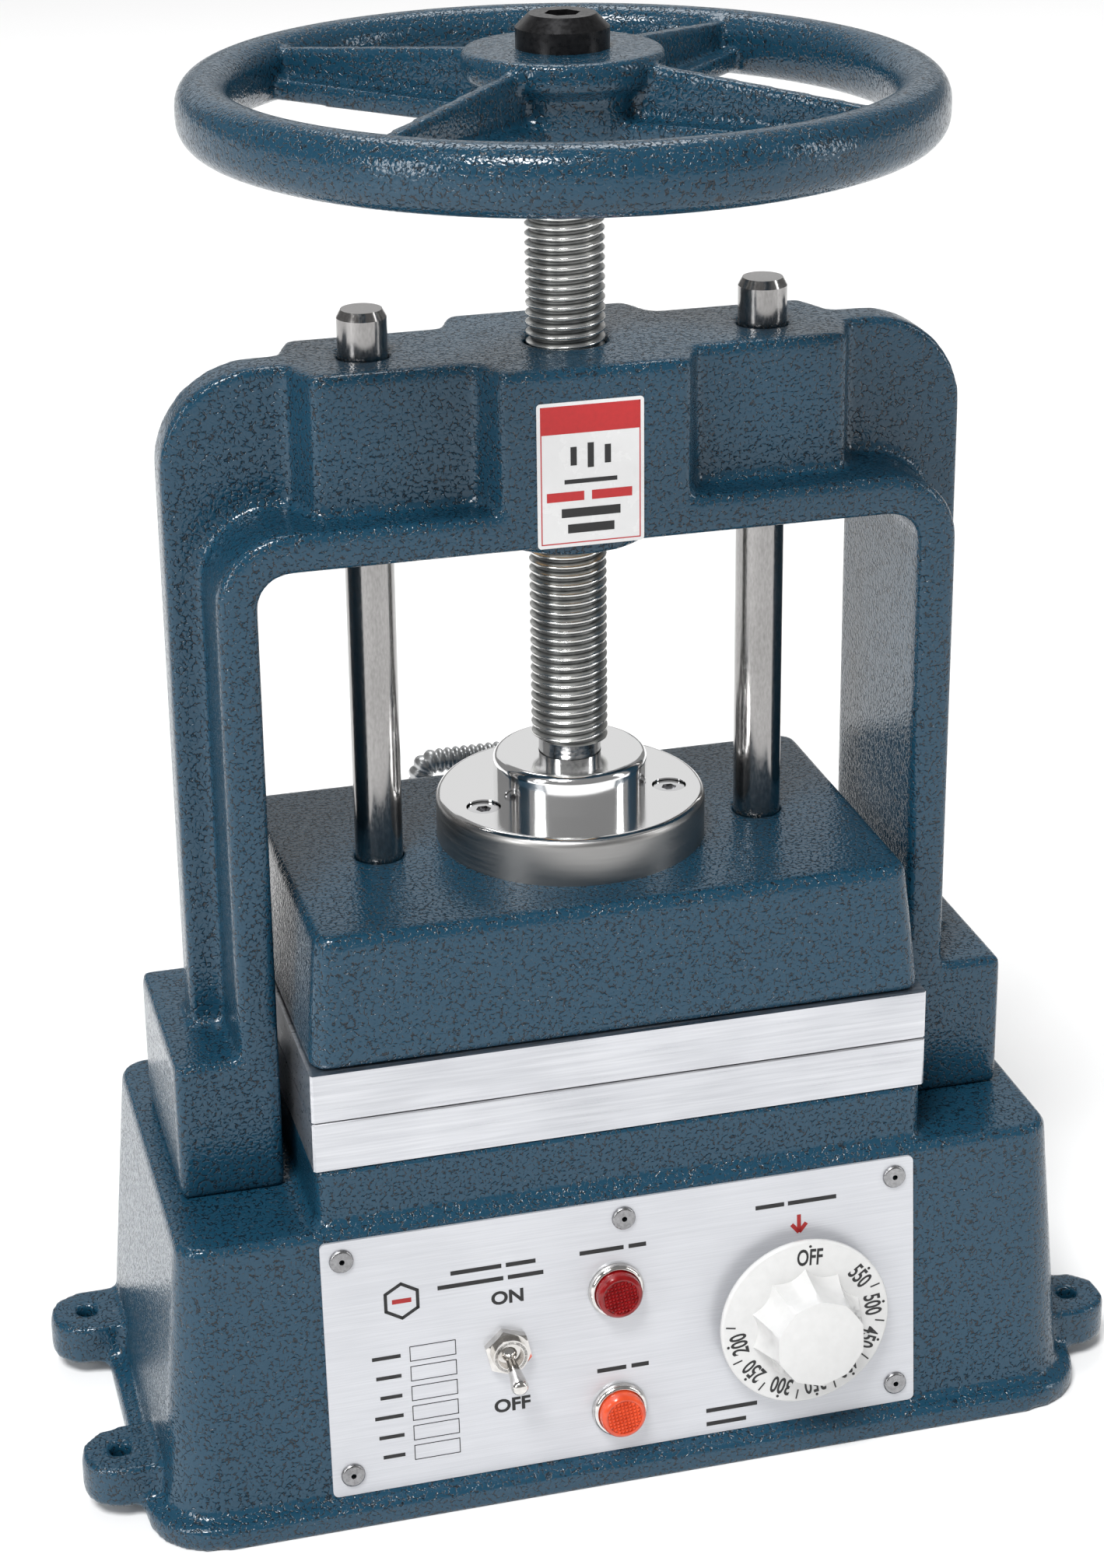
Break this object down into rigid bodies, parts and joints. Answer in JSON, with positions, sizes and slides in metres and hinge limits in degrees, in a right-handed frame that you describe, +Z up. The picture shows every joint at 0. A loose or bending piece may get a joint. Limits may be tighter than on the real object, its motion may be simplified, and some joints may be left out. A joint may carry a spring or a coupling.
{
  "type": "heated platen screw press",
  "caption": "Bench-top heated platen press: a handwheel screw in a cast yoke drives a guided block and platen down onto a base with a sloping control panel.",
  "frame": {"origin": "on the bench, under the axis of the screw", "axes": "+Z up along the screw, -Y towards the control panel and the user, +X to the user's right"},
  "size_m": [0.363, 0.2384, 0.4755],
  "materials": {
    "enamel_casting": "dark steel-blue hammertone enamel, glossy, with small cells edged by fine dark cracks",
    "platen_aluminium": "milled, with fine tool lines on the faces and bright broken edges",
    "ground_steel": "ground and polished round bar with a light film of oil",
    "screw_steel": "cut thread, dull in the roots and bright on the crests",
    "chrome_plate": "turned and plated, with faint turning rings",
    "nickel_plate": "bright nickel plate",
    "black_oxide": "oiled black oxide",
    "zinc_steel": "zinc-plated sheet and bar, satin",
    "bronze": "bearing bronze, turned",
    "panel_aluminium": "brushed sheet with printed marks",
    "rivet_aluminium": "plain domed heads",
    "dial_plastic": "glossy off-white moulding with printed black figures",
    "red_lens": "clear red moulding with a pyramid-cut face",
    "amber_lens": "clear amber moulding with a pyramid-cut face",
    "black_plastic": "moulded black phenolic",
    "insulating_board": "pressed off-white insulating board",
    "heater_steel": "heat-tinted sheet-steel sheath",
    "copper": "drawn copper tube",
    "label_film": "white film with a red border and plain printed bars"
  },
  "bodies": {
    "base": {"base_housing": "enamel_casting", "bottom_cover": "zinc_steel", "bottom_cover_screws": "zinc_steel", "press_yoke": "enamel_casting", "yoke_bolts": "black_oxide", "yoke_bolt_washers": "zinc_steel", "screw_nut": "bronze", "nut_grub_screw": "black_oxide", "yoke_label": "label_film", "lower_platen": "platen_aluminium", "lower_heater": "heater_steel", "lower_board": "insulating_board", "lower_platen_screws": "black_oxide", "thermostat_bulb": "copper", "capillary_tube": "copper", "control_plate": "panel_aluminium", "plate_rivets": "rivet_aluminium", "toggle_body": "nickel_plate", "toggle_ring": "nickel_plate", "toggle_nut": "nickel_plate", "power_lamp_body": "black_plastic", "power_lamp_bezel": "nickel_plate", "power_lamp_lens": "red_lens", "heat_lamp_body": "black_plastic", "heat_lamp_bezel": "nickel_plate", "heat_lamp_lens": "amber_lens", "lamp_clips": "zinc_steel", "thermostat_body": "zinc_steel", "thermostat_screws": "zinc_steel", "terminal_block": "black_plastic", "cord_gland": "black_plastic", "conduit_base_fitting": "zinc_steel", "conduit": "zinc_steel"},
    "carriage": {"upper_block": "enamel_casting", "upper_platen": "platen_aluminium", "upper_heater": "heater_steel", "upper_board": "insulating_board", "upper_platen_screws": "black_oxide", "guide_rod_left": "ground_steel", "guide_rod_right": "ground_steel", "guide_rod_screws": "black_oxide", "swivel_collar": "chrome_plate", "collar_screws": "black_oxide", "thrust_washer": "bronze", "conduit_block_fitting": "zinc_steel"},
    "screw": {"press_screw": "screw_steel", "screw_foot": "screw_steel", "foot_pin": "ground_steel", "handwheel": "enamel_casting", "wheel_key": "ground_steel", "wheel_screw": "black_oxide"},
    "dial": {"heat_dial": "dial_plastic", "thermostat_shaft": "zinc_steel"},
    "toggle": {"toggle_lever": "nickel_plate"}
  },
  "joints": [
    {"name": "carriage_slide", "type": "slide", "parent": "base", "child": "carriage", "axis": [0, 0, 1], "range_m": [0, 0.0731], "deforming": ["conduit"]},
    {"name": "screw_turn", "type": "hinge", "parent": "carriage", "child": "screw", "pos_m": [0, 0, 0.2], "axis": [0, 0, 1], "range_deg": [0, 8280]},
    {"name": "dial_turn", "type": "hinge", "parent": "base", "child": "dial", "pos_m": [0.0573, -0.07461, 0.04933], "axis": [0, 0.9965, -0.0837], "range_deg": [0, 300]},
    {"name": "toggle_flip", "type": "hinge", "parent": "base", "child": "toggle", "pos_m": [-0.0437, -0.07527, 0.0534], "axis": [-1, 0, 0], "range_deg": [0, 36]}
  ],
  "couplings": [
    {"joint": "carriage_slide", "follows": "screw_turn", "m_per_rad": 0.00050532}
  ]
}
